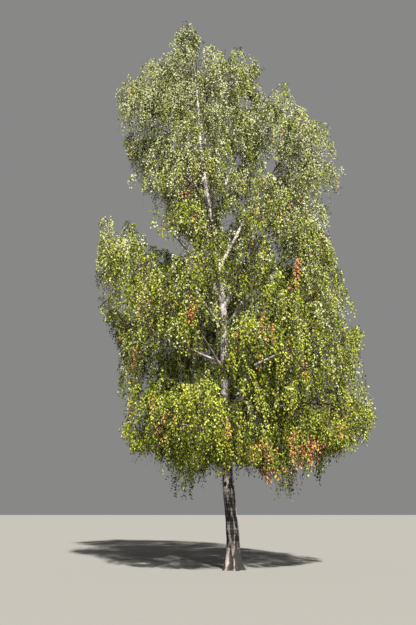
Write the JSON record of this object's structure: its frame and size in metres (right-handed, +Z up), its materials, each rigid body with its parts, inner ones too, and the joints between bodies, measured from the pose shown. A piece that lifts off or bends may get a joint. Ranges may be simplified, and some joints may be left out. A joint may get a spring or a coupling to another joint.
{
  "type": "silver birch tree",
  "caption": "Tall broadleaf tree with a leaning pale trunk, rising boughs and an open, weeping crown of small yellow-green leaves.",
  "frame": {"origin": "centre of the flat cut under the trunk, at ground level", "axes": "+Z up along the trunk, +X to the right and +Y away from someone who faces the tree's front"},
  "size_m": [8.8856, 8.2214, 19.9719],
  "materials": {
    "trunk_bark": "rough",
    "bough_bark": "rough",
    "foliage": "satin"
  },
  "bodies": {
    "root": {"bough_high_1": "bough_bark", "bough_high_2": "bough_bark", "bough_high_3": "bough_bark", "bough_high_4": "bough_bark", "bough_high_5": "bough_bark", "bough_low_1": "bough_bark", "bough_low_2": "bough_bark", "bough_low_3": "bough_bark", "bough_low_4": "bough_bark", "bough_low_5": "bough_bark", "bough_low_6": "bough_bark", "bough_middle_1": "bough_bark", "bough_middle_2": "bough_bark", "bough_middle_3": "bough_bark", "bough_middle_4": "bough_bark", "bough_middle_5": "bough_bark", "bough_middle_6": "bough_bark", "bough_shoulder_1": "bough_bark", "bough_shoulder_2": "bough_bark", "bough_shoulder_3": "bough_bark", "bough_shoulder_4": "bough_bark", "bough_skirt_1": "bough_bark", "bough_skirt_2": "bough_bark", "bough_skirt_3": "bough_bark", "bough_skirt_4": "bough_bark", "bough_skirt_5": "bough_bark", "bough_upper_1": "bough_bark", "bough_upper_2": "bough_bark", "foliage_crest_1": "foliage", "foliage_crest_2": "foliage", "foliage_high_1": "foliage", "foliage_high_2": "foliage", "foliage_high_3": "foliage", "foliage_high_4": "foliage", "foliage_high_5": "foliage", "foliage_low_1": "foliage", "foliage_low_2": "foliage", "foliage_low_3": "foliage", "foliage_low_4": "foliage", "foliage_low_5": "foliage", "foliage_low_6": "foliage", "foliage_middle_1": "foliage", "foliage_middle_2": "foliage", "foliage_middle_3": "foliage", "foliage_middle_4": "foliage", "foliage_middle_5": "foliage", "foliage_middle_6": "foliage", "foliage_shoulder_1": "foliage", "foliage_shoulder_2": "foliage", "foliage_shoulder_3": "foliage", "foliage_shoulder_4": "foliage", "foliage_skirt_1": "foliage", "foliage_skirt_2": "foliage", "foliage_skirt_3": "foliage", "foliage_skirt_4": "foliage", "foliage_skirt_5": "foliage", "foliage_tip_1": "foliage", "foliage_upper_1": "foliage", "foliage_upper_2": "foliage", "trunk": "trunk_bark"}
  },
  "joints": []
}
